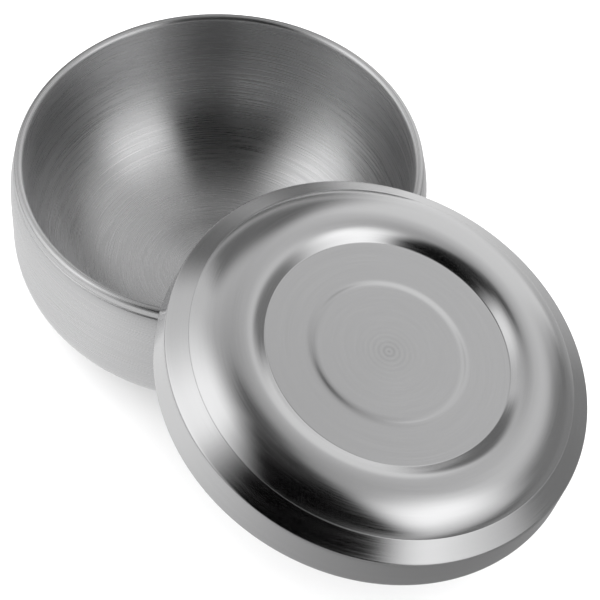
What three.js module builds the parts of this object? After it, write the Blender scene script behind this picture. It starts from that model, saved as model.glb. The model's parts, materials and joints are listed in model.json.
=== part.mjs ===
// Shaving bowl: a double-walled bowl of spun stainless steel and its loose, pressed lid.
// The lid is held tilted over the front of the rim, with its skirt just clear of the lip.
// Units are millimetres, +Z is up, and the origin is the centre of the bowl's flat base.
import * as THREE from 'three';

// Driving dimensions of the bowl.
const rimRadius = 51;
const bowlHeight = 44;
const outerSheet = 0.6;
const innerSheet = 0.5;
const gap = 0.3;

// Driving dimensions of the lid, measured from its flat centre panel.
const lidRadius = 52.5;
const lidSheet = 0.5;
const lidTiltDegrees = 16.95;
const lidLeanDegrees = -26.1;
const lidCentre = new THREE.Vector3(40.4, -70.7, bowlHeight + 12.5);

const turns = 72;
const curveSteps = 5;

const steel = { color: 0xb8b8ba, roughness: 0.3, metalness: 1 };

// The outer shell's visible face, from the centre of the base to the neck under the lip.
function outerShellFace(neckRadius, neckTop) {
  const baseRadius = 29.5;
  const cornerHeight = 21;
  const wallRadius = rimRadius + 0.6;
  const shoulderRadius = rimRadius + 0.05;
  const shoulderHeight = bowlHeight - 3;
  const neckFoot = neckTop - 1.9;
  const face = new THREE.Path();
  face.moveTo(0, 0);
  face.lineTo(baseRadius, 0);
  face.absellipse(
    baseRadius, cornerHeight, wallRadius - baseRadius, cornerHeight, -Math.PI / 2, 0,
  );
  face.bezierCurveTo(
    wallRadius + 0.1, cornerHeight + 9,
    wallRadius + 1, shoulderHeight - 4,
    shoulderRadius, shoulderHeight,
  );
  face.quadraticCurveTo(neckRadius + 0.1, neckFoot - 0.2, neckRadius, neckFoot);
  face.lineTo(neckRadius, neckTop);
  return face;
}

// The inner shell's visible face: floor, round corner, wall leaning outwards, rolled lip, and the hem
// over the outer shell's edge. The wall is tangent to the corner.
function innerShellFace(lipRadius, hemFoot) {
  const floorHeight = 3;
  const cornerRadius = 32;
  const wallLean = THREE.MathUtils.degToRad(3);
  const lipInside = rimRadius - 2 * lipRadius;
  const lipHeight = bowlHeight - lipRadius;
  const cornerHeight = floorHeight + cornerRadius;
  const wallRadius = lipInside - (lipHeight - cornerHeight) * Math.tan(wallLean);
  const floorRadius = wallRadius - cornerRadius / Math.cos(wallLean);
  const face = new THREE.Path();
  face.moveTo(0, floorHeight);
  face.lineTo(floorRadius, floorHeight);
  face.absarc(floorRadius, cornerHeight, cornerRadius, -Math.PI / 2, -wallLean, false);
  face.lineTo(lipInside, lipHeight);
  face.absarc(rimRadius - lipRadius, lipHeight, lipRadius, Math.PI, 0, true);
  face.lineTo(rimRadius, hemFoot);
  return face;
}

// The lid's upper face: raised disc, flat panel, recess wall, domed ring, sloping ledge and skirt.
function lidFace() {
  const discRadius = 18.9;
  const discRise = 0.4;
  const discBlend = 1.5;
  const panelRadius = 30.35;
  const crestRadius = 35.5;
  const crestHeight = 2.3;
  const creaseRadius = 47.6;
  const creaseHeight = -3.6;
  const cornerRadius = lidRadius - 0.4;
  const cornerHeight = -7.1;
  const skirtFlare = 0.35;
  const skirtFoot = -16.4;
  const face = new THREE.Path();
  face.moveTo(0, discRise);
  face.lineTo(discRadius - discBlend, discRise);
  face.bezierCurveTo(discRadius, discRise, discRadius, 0, discRadius + discBlend, 0);
  face.lineTo(panelRadius, 0);
  face.bezierCurveTo(
    panelRadius + 1.6, 1.1,
    panelRadius + 3, crestHeight,
    crestRadius, crestHeight,
  );
  face.bezierCurveTo(
    crestRadius + 4.5, crestHeight,
    creaseRadius - 2.6, creaseHeight + 3.2,
    creaseRadius, creaseHeight,
  );
  face.lineTo(cornerRadius, cornerHeight);
  face.quadraticCurveTo(lidRadius, cornerHeight - 0.3, lidRadius, cornerHeight - 0.9);
  face.lineTo(lidRadius + skirtFlare, skirtFoot);
  return face;
}

// Moves each point of an open outline sideways by the sheet's thickness, keeping mitred corners.
// A positive distance moves to the left of the outline's direction of travel.
function offsetOutline(points, distance) {
  return points.map((point, index) => {
    const before = points[Math.max(index - 1, 0)];
    const after = points[Math.min(index + 1, points.length - 1)];
    const arriving = point.clone().sub(before).normalize();
    const leaving = after.clone().sub(point).normalize();
    if (index === 0) arriving.copy(leaving);
    if (index === points.length - 1) leaving.copy(arriving);
    const along = arriving.clone().add(leaving).normalize();
    const reach = distance / along.dot(arriving);
    return new THREE.Vector2(point.x - along.y * reach, point.y + along.x * reach);
  });
}

// Revolves a sheet of even thickness about +Z. Its visible face starts on the axis, and the sheet
// lies to the left of that face, or to the right where the thickness is negative.
function spinSheet(face, thickness) {
  const visible = face.getPoints(curveSteps);
  const hidden = offsetOutline(visible, thickness);
  hidden[0].x = 0;
  const outline = [...visible, ...hidden.reverse()];
  if (thickness < 0) outline.reverse();
  const geometry = new THREE.LatheGeometry(outline, turns);
  geometry.rotateX(Math.PI / 2);
  return geometry;
}

function namedMesh(name, geometry) {
  const mesh = new THREE.Mesh(geometry, new THREE.MeshStandardMaterial(steel));
  mesh.name = name;
  return mesh;
}

// The lip is a half round wide enough to fold over the outer shell's edge with a gap on both sides.
const lipRadius = outerSheet / 2 + gap + innerSheet + 0.05;
const hemFoot = bowlHeight - 2.4;
const neckRadius = rimRadius - lipRadius + outerSheet / 2;
const neckTop = bowlHeight - innerSheet - gap;

const bowl = new THREE.Group();
bowl.add(namedMesh('outer_shell', spinSheet(outerShellFace(neckRadius, neckTop), outerSheet)));
bowl.add(namedMesh('inner_shell', spinSheet(innerShellFace(lipRadius, hemFoot), -innerSheet)));

const lidAxis = new THREE.Vector3(0, 0, 1)
  .applyAxisAngle(new THREE.Vector3(0, 1, 0), THREE.MathUtils.degToRad(lidTiltDegrees))
  .applyAxisAngle(new THREE.Vector3(0, 0, 1), THREE.MathUtils.degToRad(lidLeanDegrees));
const lid = new THREE.Group();
lid.add(namedMesh('lid_shell', spinSheet(lidFace(), -lidSheet)));
lid.position.copy(lidCentre);
lid.quaternion.setFromUnitVectors(new THREE.Vector3(0, 0, 1), lidAxis);

const part = new THREE.Group();
part.add(bowl, lid);

export default part;
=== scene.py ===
"""Shaving bowl: a double-walled brushed steel bowl with its loose lid tilted over the rim.

Everything is in metres in the CAD frame: the origin is the centre of the bowl's base and +Z is up.
"""

import json
import math

import bpy
from mathutils import Matrix, Vector


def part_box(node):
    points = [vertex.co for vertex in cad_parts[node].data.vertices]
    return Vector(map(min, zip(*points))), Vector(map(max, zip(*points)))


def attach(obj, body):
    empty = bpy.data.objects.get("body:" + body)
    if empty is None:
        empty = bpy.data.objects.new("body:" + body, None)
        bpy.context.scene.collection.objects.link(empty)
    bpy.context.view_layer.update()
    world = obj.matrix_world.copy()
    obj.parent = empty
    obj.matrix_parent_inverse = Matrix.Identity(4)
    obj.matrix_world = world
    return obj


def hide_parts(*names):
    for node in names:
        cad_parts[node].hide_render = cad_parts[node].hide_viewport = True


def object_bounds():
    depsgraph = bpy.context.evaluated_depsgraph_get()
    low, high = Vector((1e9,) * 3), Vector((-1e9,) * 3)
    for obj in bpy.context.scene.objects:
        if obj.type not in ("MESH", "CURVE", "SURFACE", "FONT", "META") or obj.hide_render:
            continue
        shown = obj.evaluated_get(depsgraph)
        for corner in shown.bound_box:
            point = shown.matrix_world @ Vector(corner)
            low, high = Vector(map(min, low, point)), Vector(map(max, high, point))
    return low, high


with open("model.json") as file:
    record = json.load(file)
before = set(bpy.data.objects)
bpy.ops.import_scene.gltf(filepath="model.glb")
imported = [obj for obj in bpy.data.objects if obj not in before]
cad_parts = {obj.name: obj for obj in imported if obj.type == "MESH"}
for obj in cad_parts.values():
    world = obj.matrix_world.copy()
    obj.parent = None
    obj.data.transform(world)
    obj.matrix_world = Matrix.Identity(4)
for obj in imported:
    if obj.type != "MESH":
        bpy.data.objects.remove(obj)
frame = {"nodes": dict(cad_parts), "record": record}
cad_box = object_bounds()

MM = 0.001
TURNS = 240  # facets round each piece
ON_AXIS = 1e-7  # a radius below this lies on the axis
MITRE_LIMIT = 0.5  # sharpest corner a sheet's hidden face follows, as the cosine of half its turn
FOLD_SHARE = 0.98  # a hidden point nearer the visible face than this share of the sheet folds back
EDGE_STEPS = 6  # facets round a sheet's free edge


# ---------------------------------------------------------------- outlines
# An outline is a list of (radius, height) points in metres.

def line(start, end, steps=1):
    """Points from start towards end, without end itself."""
    return [
        (start[0] + (end[0] - start[0]) * k / steps, start[1] + (end[1] - start[1]) * k / steps)
        for k in range(steps)
    ]


def arc(centre, radii, first, last, steps):
    """Points on an ellipse between two angles in degrees, without the last one."""
    angles = [math.radians(first + (last - first) * k / steps) for k in range(steps)]
    return [(centre[0] + radii[0] * math.cos(a), centre[1] + radii[1] * math.sin(a)) for a in angles]


def curve(a, b, c, d, steps):
    """Points on a cubic Bezier curve, without its end."""
    points = []
    for k in range(steps):
        t = k / steps
        s = 1 - t
        weights = (s * s * s, 3 * s * s * t, 3 * s * t * t, t * t * t)
        points.append(tuple(sum(w * p[i] for w, p in zip(weights, (a, b, c, d))) for i in (0, 1)))
    return points


def offset(face, distance):
    """The other face of a sheet: each point moved left by distance, leaving out those that fold back."""
    moved = []
    for i, point in enumerate(face):
        before = Vector(face[max(i - 1, 0)])
        after = Vector(face[min(i + 1, len(face) - 1)])
        here = Vector(point)
        arriving = (here - before).normalized() if i else (after - here).normalized()
        leaving = (after - here).normalized() if i < len(face) - 1 else arriving
        along = (arriving + leaving).normalized()
        reach = distance / max(along.dot(arriving), MITRE_LIMIT)
        spot = here + Vector((-along.y, along.x)) * reach
        near = min((spot - Vector(p)).length for p in face)
        if near > abs(distance) * FOLD_SHARE:
            moved.append((max(spot.x, 0.0), spot.y))
    return moved


def sheet(face, thickness):
    """A closed outline for a sheet whose visible face starts on the axis and ends at a rounded edge."""
    hidden = offset(face, thickness)
    hidden[0] = (0.0, hidden[0][1])
    end, other = Vector(face[-1]), Vector(hidden[-1])
    middle = (end + other) / 2
    outward = (end - Vector(face[-2])).normalized() * abs(thickness) / 2
    edge = []
    for k in range(1, EDGE_STEPS):
        a = math.pi * k / EDGE_STEPS
        edge.append(tuple(middle + (end - middle) * math.cos(a) + outward * math.sin(a)))
    return face + edge + hidden[::-1]


def pressed_line(before, start, end, depth):
    """A fine groove at start, where the stretch towards end begins, with a point close on each side of it."""
    near = Vector(start)
    arriving = (near - Vector(before)).normalized() * depth
    along = (Vector(end) - near).normalized() * depth
    inward = Vector((along.y, -along.x))
    spots = (near - arriving, near, near + along + inward, near + 2 * along, near + 3 * along)
    return [tuple(spot) for spot in spots]


def revolve(name, outline, place):
    """A closed mesh: the outline, which starts and ends on the axis, turned about the place's Z axis.

    Its UV map holds the share of a turn in U and the distance along the outline, in metres, in V.
    """
    area = sum(a[0] * b[1] - b[0] * a[1] for a, b in zip(outline, outline[1:]))
    vertices, rings, along = [], [], [0.0]
    for spot, after in zip(outline, outline[1:]):
        along.append(along[-1] + math.dist(spot, after))
    for radius, height in outline:
        if radius < ON_AXIS:
            rings.append([len(vertices)] * TURNS)
            vertices.append(place @ Vector((0.0, 0.0, height)))
            continue
        rings.append(list(range(len(vertices), len(vertices) + TURNS)))
        for k in range(TURNS):
            a = 2 * math.pi * k / TURNS
            vertices.append(place @ Vector((radius * math.cos(a), radius * math.sin(a), height)))
    faces, layout = [], []
    for row in range(len(rings) - 1):
        for k in range(TURNS):
            n = (k + 1) % TURNS
            corners = {
                rings[row][k]: (k / TURNS, along[row]),
                rings[row][n]: ((k + 1) / TURNS, along[row]),
                rings[row + 1][n]: ((k + 1) / TURNS, along[row + 1]),
                rings[row + 1][k]: (k / TURNS, along[row + 1]),
            }
            order = list(corners) if area > 0 else list(corners)[::-1]
            faces.append(order)
            layout.extend(corners[corner] for corner in order)
    mesh = bpy.data.meshes.new(name)
    mesh.from_pydata(vertices, [], faces)
    uv = mesh.uv_layers.new(name="around")
    for loop, spot in zip(uv.data, layout):
        loop.uv = spot
    mesh.update()
    mesh.shade_smooth()
    piece = bpy.data.objects.new(name, mesh)
    bpy.context.scene.collection.objects.link(piece)
    return piece


# ---------------------------------------------------------------- shader nodes

def math_node(tree, operation, *values):
    """The output of a new math node; each value is a number or another node's output."""
    node = tree.nodes.new("ShaderNodeMath")
    node.operation = operation
    for socket, value in zip(node.inputs, values):
        if isinstance(value, (int, float)):
            socket.default_value = value
        else:
            tree.links.new(value, socket)
    return node.outputs[0]


def remap(tree, value, source, target, smooth=False):
    """The value carried from the source range to the target range, and held at its ends."""
    node = tree.nodes.new("ShaderNodeMapRange")
    if smooth:
        node.interpolation_type = "SMOOTHSTEP"
    node.inputs["From Min"].default_value, node.inputs["From Max"].default_value = source
    node.inputs["To Min"].default_value, node.inputs["To Max"].default_value = target
    tree.links.new(value, node.inputs["Value"])
    return node.outputs[0]


# ---------------------------------------------------------------- brushed steel

FINE_STREAKS = (5000.0, 2.0)  # streaks per metre across the brushing, and waves along it
BROAD_STREAKS = (700.0, 0.8)
NOISE_DETAIL = 2.0
QUARTER_TURN = 0.25  # turns the anisotropy so that it blurs across the brushing
BROAD_SHADE = 0.01
SHADE_SPREAD = 0.2  # how far the noise strays from its middle for the full change of shade
ROUGHNESS_SPREAD = 0.12
GROOVE_DEPTH = 0.01 * MM
BUMP_PER_GROOVE = 6
MARK_REACH = 2.5 * MM  # how fast the spinning marks at the centre fade
MARK_PITCH = 1.3 * MM


def brushed_steel(name, tint, polished, scratched, anisotropy, grooves, rings=0.0):
    """Steel brushed round the piece, along U, with streaks between polished and scratched in roughness.

    Grooves is how much the streaks change the shade, and rings how dark the spinning marks at the centre are.
    """
    material = bpy.data.materials.new(name)
    material.use_nodes = True
    tree = material.node_tree
    nodes, links = tree.nodes, tree.links
    shader = nodes["Principled BSDF"]
    shader.inputs["Metallic"].default_value = 1.0
    shader.inputs["Anisotropic"].default_value = anisotropy
    shader.inputs["Anisotropic Rotation"].default_value = QUARTER_TURN

    split = nodes.new("ShaderNodeSeparateXYZ")
    links.new(nodes.new("ShaderNodeTexCoord").outputs["UV"], split.inputs[0])
    turn = math_node(tree, "MULTIPLY", split.outputs[0], 2 * math.pi)
    across = split.outputs[1]
    around = (math_node(tree, "COSINE", turn), math_node(tree, "SINE", turn))

    def streaks(per_metre, lengthwise):
        """Noise that is long round the piece and fine across it."""
        combine = nodes.new("ShaderNodeCombineXYZ")
        links.new(math_node(tree, "MULTIPLY", across, per_metre), combine.inputs[0])
        links.new(math_node(tree, "MULTIPLY", around[0], lengthwise), combine.inputs[1])
        links.new(math_node(tree, "MULTIPLY", around[1], lengthwise), combine.inputs[2])
        noise = nodes.new("ShaderNodeTexNoise")
        noise.inputs["Scale"].default_value = 1.0
        noise.inputs["Detail"].default_value = NOISE_DETAIL
        links.new(combine.outputs[0], noise.inputs["Vector"])
        return noise.outputs["Fac"]

    def spread_over(noise, spread, low, high):
        """The noise, which stays near a half, opened out over the range from low to high."""
        return remap(tree, noise, (0.5 - spread, 0.5 + spread), (low, high))

    fine = streaks(*FINE_STREAKS)
    broad = streaks(*BROAD_STREAKS)
    shade = spread_over(broad, SHADE_SPREAD, 1 - BROAD_SHADE, 1 + BROAD_SHADE)
    fine_shade = spread_over(fine, SHADE_SPREAD, 1 - grooves, 1 + grooves)
    shade = math_node(tree, "MULTIPLY", shade, fine_shade)
    if rings:
        centre = math_node(tree, "POWER", math.e, math_node(tree, "MULTIPLY", across, -1 / MARK_REACH))
        wave = math_node(tree, "COSINE", math_node(tree, "MULTIPLY", across, 2 * math.pi / MARK_PITCH))
        marks = math_node(tree, "MULTIPLY_ADD", wave, rings / 2, rings / 2)
        shade = math_node(tree, "SUBTRACT", shade, math_node(tree, "MULTIPLY", centre, marks))
    tone = nodes.new("ShaderNodeVectorMath")
    tone.operation = "SCALE"
    tone.inputs[0].default_value = tint
    links.new(shade, tone.inputs["Scale"])
    links.new(tone.outputs[0], shader.inputs["Base Color"])
    roughness = spread_over(fine, ROUGHNESS_SPREAD, polished, scratched)
    links.new(roughness, shader.inputs["Roughness"])

    bump = nodes.new("ShaderNodeBump")
    bump.inputs["Strength"].default_value = grooves * BUMP_PER_GROOVE
    bump.inputs["Distance"].default_value = GROOVE_DEPTH
    links.new(fine, bump.inputs["Height"])
    links.new(bump.outputs["Normal"], shader.inputs["Normal"])

    tangent = nodes.new("ShaderNodeTangent")
    tangent.direction_type = "UV_MAP"
    tangent.uv_map = "around"
    links.new(tangent.outputs[0], shader.inputs["Tangent"])
    return material


# ---------------------------------------------------------------- the bowl

rim_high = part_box("inner_shell")[1]
rim_radius = rim_high.x
bowl_height = rim_high.z
outer_sheet = 0.6 * MM
inner_sheet = 0.5 * MM
edge_room = 0.3 * MM  # under the lip, for the rounded edge of the outer sheet
lip_radius = 1.15 * MM
hem_foot = bowl_height - 2.4 * MM


def outer_wall():
    """The outer shell, from the flat base round the lower corner to the neck under the lip."""
    base = 29.5 * MM
    corner = 21 * MM
    wall = rim_radius + 0.6 * MM
    bulge = 1.0 * MM
    shoulder = (rim_radius + 0.05 * MM, bowl_height - 2.8 * MM)
    neck = rim_radius - lip_radius + outer_sheet / 2
    neck_bend = bowl_height - 2.6 * MM
    neck_foot = bowl_height - 2.2 * MM
    neck_top = bowl_height - inner_sheet - edge_room
    face = line((0, 0), (base, 0), steps=12)
    face += arc((base, corner), (wall - base, corner), -90, 0, steps=48)
    face += curve(
        (wall, corner), (wall + bulge / 10, corner + 9 * MM),
        (wall + bulge, shoulder[1] - 4 * MM), shoulder, steps=40,
    )
    face += curve(
        shoulder, (neck + 0.6 * MM, neck_bend),
        (neck, neck_bend), (neck, neck_foot), steps=10,
    )
    face += line((neck, neck_foot), (neck, neck_top), steps=2) + [(neck, neck_top)]
    return sheet(face, outer_sheet)


def inner_wall():
    """The floor, the round corner, the leaning wall, the rolled lip and the hem over the outer shell."""
    floor = 3 * MM
    corner_radius = 32 * MM
    lean_degrees = 3
    lean = math.radians(lean_degrees)
    inside = rim_radius - 2 * lip_radius
    lip = bowl_height - lip_radius
    hem = (rim_radius, hem_foot)
    corner = floor + corner_radius
    floor_radius = inside - (lip - corner) * math.tan(lean) - corner_radius / math.cos(lean)
    wall_foot = (floor_radius + corner_radius * math.cos(lean), corner - corner_radius * math.sin(lean))
    face = line((0, floor), (floor_radius, floor), steps=12)
    face += arc((floor_radius, corner), (corner_radius, corner_radius), -90, -lean_degrees, steps=96)
    face += line(wall_foot, (inside, lip), steps=12)
    face += arc((rim_radius - lip_radius, lip), (lip_radius, lip_radius), 180, 0, steps=24)
    face += line((rim_radius, lip), hem, steps=3) + [hem]
    return sheet(face, -inner_sheet)


# ---------------------------------------------------------------- the lid

disc_mount = next(m for m in frame["record"]["mounts"] if m["name"] == "lid_disc")
lid_axis = Vector(disc_mount["axis"]).normalized()
disc_rise = 0.4 * MM
lid_centre = Vector(disc_mount["pos_m"]) - lid_axis * disc_rise
lid_place = Matrix.Translation(lid_centre) @ lid_axis.to_track_quat("Z", "Y").to_matrix().to_4x4()


def lid_reach():
    """(skirt foot radius, skirt foot height) of the CAD lid in its own frame."""
    inverse = lid_place.inverted()
    local = [inverse @ v.co for v in frame["nodes"]["lid_shell"].data.vertices]
    return max(v.xy.length for v in local), min(v.z for v in local)


def lid_sheet():
    """Raised disc, flat panel, recess wall, domed ring, sloping ledge, rounded corner and skirt."""
    foot_radius, foot_height = lid_reach()
    thickness = 0.5 * MM
    skirt = foot_radius - 0.35 * MM
    disc = 18.9 * MM
    blend = 1.5 * MM
    crown = 0.3 * MM
    panel = 30.35 * MM
    panel_line = 0.06 * MM
    crest = (35.5 * MM, 2.3 * MM)
    crease = (47.6 * MM, -3.6 * MM)
    crease_line = 0.05 * MM
    corner = (skirt - 0.45 * MM, -7.05 * MM)
    skirt_top = (skirt, corner[1] - 0.9 * MM)
    skirt_line = 0.03 * MM
    foot = (foot_radius, foot_height + thickness / 2)
    face = line((0, disc_rise), (disc - blend, disc_rise), steps=30)
    face += curve(
        (disc - blend, disc_rise), (disc, disc_rise),
        (disc, 0), (disc + blend, 0), steps=20,
    )
    fold = pressed_line((disc, 0), (panel - 3 * panel_line, 0), (panel, 0), panel_line)
    face += line((disc + blend, 0), fold[0], steps=12) + fold[:-1]
    # The disc and the panel are crowned a little, as a pressed sheet is.
    face = [(radius, height + crown * (1 - (radius / panel) ** 2)) for radius, height in face]
    face += curve(
        (panel, 0), (panel + 1.6 * MM, 1.1 * MM),
        (panel + 3 * MM, crest[1]), crest, steps=28,
    )
    face += curve(
        crest, (crest[0] + 4.5 * MM, crest[1]),
        (crease[0] - 2.6 * MM, crease[1] + 3.2 * MM), crease, steps=40,
    )
    fold = pressed_line(face[-1], crease, corner, crease_line)
    face += fold[:-1] + line(fold[-1], corner, steps=10)
    face += curve(
        corner, (skirt - 0.1 * MM, corner[1] - 0.25 * MM),
        (skirt, corner[1] - 0.5 * MM), skirt_top, steps=8,
    )
    fold = pressed_line(face[-1], skirt_top, foot, skirt_line)
    face += fold[:-1] + line(fold[-1], foot, steps=10) + [foot]
    return sheet(face, -thickness)


# ---------------------------------------------------------------- the pieces

STEEL = (0.66, 0.66, 0.665)
# Each piece: name, outline, place, body, the CAD node it stands for, material slot and material.
PIECES = [
    ("bowl_outer_wall", outer_wall(), Matrix(), "bowl", "outer_shell", "outer_steel",
     brushed_steel("outer_steel", STEEL, polished=0.26, scratched=0.32, anisotropy=0.8, grooves=0.01)),
    ("bowl_liner_and_lip", inner_wall(), Matrix(), "bowl", "inner_shell", "inner_steel",
     brushed_steel("inner_steel", STEEL, polished=0.25, scratched=0.33, anisotropy=0.95, grooves=0.015)),
    ("lid", lid_sheet(), lid_place, "lid", "lid_shell", "lid_steel",
     brushed_steel(
         "lid_steel", STEEL, polished=0.15, scratched=0.21, anisotropy=0.65, grooves=0.014, rings=0.2,
     )),
]
for name, outline, place, body, node, slot, material in PIECES:
    piece = revolve(name, outline, place)
    piece.data.materials.append(material)
    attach(piece, body)
    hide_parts(node)
    # The lid is kept out of reflections, so that the bowl's inside shows only the studio.
    piece.visible_glossy = name != "lid"


# ---------------------------------------------------------------- floor

FLOOR_RADIUS = 0.28
FLOOR_DROP = 0.2 * MM  # keeps the floor clear of the bowl's base
FLOOR_COLOUR = 0.9
FLOOR_ROUGHNESS = 0.9
FLOOR_SHINE = 0.1
# Painted light on the floor: as the steel reflects it, the floor glows with a painted fade along this
# direction, between these distances and tones, brighter at the back left and darker at the front right.
PAINTED_LIGHT_DIRECTION = (0.75, -0.65, 0.0)
PAINTED_LIGHT_REACH = (-10 * MM, 130 * MM)
PAINTED_LIGHT_TONES = (0.88, 0.26)


def pale_floor():
    """A plain disc under the bowl. Reflected rays see it glowing with painted light, a smooth fade without
    shadows.
    """
    mesh = bpy.data.meshes.new("floor")
    turns = [2 * math.pi * k / TURNS for k in range(TURNS)]
    edge = [(FLOOR_RADIUS * math.cos(a), FLOOR_RADIUS * math.sin(a), 0) for a in turns]
    mesh.from_pydata(edge, [], [tuple(range(TURNS))])
    floor = bpy.data.objects.new("floor", mesh)
    bpy.context.scene.collection.objects.link(floor)
    floor.location.z = cad_box[0][2] - FLOOR_DROP

    material = bpy.data.materials.new("pale_floor")
    material.use_nodes = True
    material.cycles.emission_sampling = "NONE"
    tree = material.node_tree
    shader = tree.nodes["Principled BSDF"]
    shader.inputs["Roughness"].default_value = FLOOR_ROUGHNESS
    shader.inputs["Specular IOR Level"].default_value = FLOOR_SHINE
    shader.inputs["Emission Color"].default_value = (1.0, 1.0, 1.0, 1.0)
    # Painted light: to reflected rays the floor's colour is black, and it glows instead with the painted
    # fade.
    reflected = tree.nodes.new("ShaderNodeLightPath").outputs["Is Glossy Ray"]
    colour = remap(tree, reflected, (0.0, 1.0), (FLOOR_COLOUR, 0.0))
    tree.links.new(colour, shader.inputs["Base Color"])
    along = tree.nodes.new("ShaderNodeVectorMath")
    along.operation = "DOT_PRODUCT"
    along.inputs[1].default_value = PAINTED_LIGHT_DIRECTION
    tree.links.new(tree.nodes.new("ShaderNodeTexCoord").outputs["Object"], along.inputs[0])
    fade = remap(tree, along.outputs["Value"], PAINTED_LIGHT_REACH, PAINTED_LIGHT_TONES)
    # The painted glow: the fade of light, given to reflected rays only.
    painted_floor_glow = math_node(tree, "MULTIPLY", fade, reflected)
    tree.links.new(painted_floor_glow, shader.inputs["Emission Strength"])
    mesh.materials.append(material)


pale_floor()


# ---------------------------------------------------------------- studio light
# What the steel reflects: a sky that fades towards the top, with soft panels over it.
# Azimuth 0 is away from the camera and 90 is to its right.

PLAIN_LIGHT = 2.2  # the even light on everything that isn't a reflection
SKY_REACH = (38, 82)  # elevations in degrees
SKY_TONES = (0.71, 0.34)
ALL_ROUND = 180
# Each panel, in degrees: azimuth and elevation of its centre, half width and half height, softness of its
# sides and of its ends; then its brightness. Later panels lie over earlier ones.
PANELS = [
    ("behind_camera", -163, 39, 52, 31, 10, 9, 0.0),
    ("above_camera", -175, 74, 50, 11, 12, 10, 0.02),
    ("horizon", 0, -5, ALL_ROUND, 7, 5, 5, 0.12),
    ("overhead", 0, 90, ALL_ROUND, 11, 9, 8, 0.08),
    ("left_box", -95, 38, 28, 27, 24, 14, 1.30),
    ("right_box", 123, 33, 20, 15, 13, 13, 1.45),
    ("far_light", 28, 8, 20, 29, 8, 8, 0.86),
    ("far_dark_left", -10, 25, 22, 18, 8, 9, 0.17),
    ("far_dark_right", 75, -5, 22, 24, 11, 11, 0.22),
]


def studio_world():
    """Reflected rays see the sky and its panels; all other rays see the plain light."""
    world = bpy.data.worlds.new("studio")
    bpy.context.scene.world = world
    world.use_nodes = True
    world.cycles.sampling_method = "NONE"
    tree = world.node_tree
    background = tree.nodes["Background"]

    split = tree.nodes.new("ShaderNodeSeparateXYZ")
    tree.links.new(tree.nodes.new("ShaderNodeTexCoord").outputs["Generated"], split.inputs[0])
    x, y, z = split.outputs
    degrees = 180 / math.pi
    azimuth = math_node(tree, "MULTIPLY", math_node(tree, "ARCTAN2", x, y), degrees)
    elevation = math_node(tree, "MULTIPLY", math_node(tree, "ARCSINE", z), degrees)

    def inside(distance, half, soft):
        """1 within half degrees, falling smoothly to 0 over the soft edge."""
        return remap(tree, distance, (half + soft, half - soft), (0.0, 1.0), smooth=True)

    light = remap(tree, elevation, SKY_REACH, SKY_TONES)
    for _, centre, height, half_width, half_height, soft_sides, soft_ends, brightness in PANELS:
        above = math_node(tree, "ABSOLUTE", math_node(tree, "SUBTRACT", elevation, height))
        mask = inside(above, half_height, soft_ends)
        if half_width < ALL_ROUND:
            turned = math_node(tree, "SUBTRACT", azimuth, centre)
            turned = math_node(tree, "WRAP", turned, 180.0, -180.0)
            beside = math_node(tree, "ABSOLUTE", turned)
            mask = math_node(tree, "MULTIPLY", mask, inside(beside, half_width, soft_sides))
        change = math_node(tree, "SUBTRACT", brightness, light)
        light = math_node(tree, "MULTIPLY_ADD", mask, change, light)

    reflected = tree.nodes.new("ShaderNodeLightPath").outputs["Is Glossy Ray"]
    change = math_node(tree, "SUBTRACT", light, PLAIN_LIGHT)
    strength = math_node(tree, "MULTIPLY_ADD", reflected, change, PLAIN_LIGHT)
    tree.links.new(strength, background.inputs["Strength"])
    background.inputs["Color"].default_value = (1.0, 1.0, 1.0, 1.0)


studio_world()


# ---------------------------------------------------------------- camera

LENS = 249
SENSOR_WIDTH = 36
CLIP = (0.05, 20)
VIEW_ELEVATION = math.radians(48.31)
VIEW_ROLL = math.radians(2.25)
VIEW_DISTANCE = 20.2  # in rim radii
VIEW_SHIFT = Vector((20.0, -44.5, 0)) * MM  # from the rim's centre to the middle of the picture


def camera():
    """Looks along +Y and down at the rim, from the side the lid leans over."""
    data = bpy.data.cameras.new("camera")
    data.lens = LENS
    data.sensor_width = SENSOR_WIDTH
    data.clip_start, data.clip_end = CLIP
    eye = bpy.data.objects.new("camera", data)
    bpy.context.scene.collection.objects.link(eye)
    rim_centre = Vector((0, 0, bowl_height))
    back = Vector((0, -math.cos(VIEW_ELEVATION), math.sin(VIEW_ELEVATION)))
    eye.location = rim_centre + VIEW_DISTANCE * rim_radius * back
    look = (rim_centre + VIEW_SHIFT - eye.location).to_track_quat("-Z", "Y").to_matrix()
    eye.rotation_euler = (look @ Matrix.Rotation(VIEW_ROLL, 3, "Z")).to_euler()
    bpy.context.scene.camera = eye


camera()
bpy.context.scene.view_settings.view_transform = "Standard"
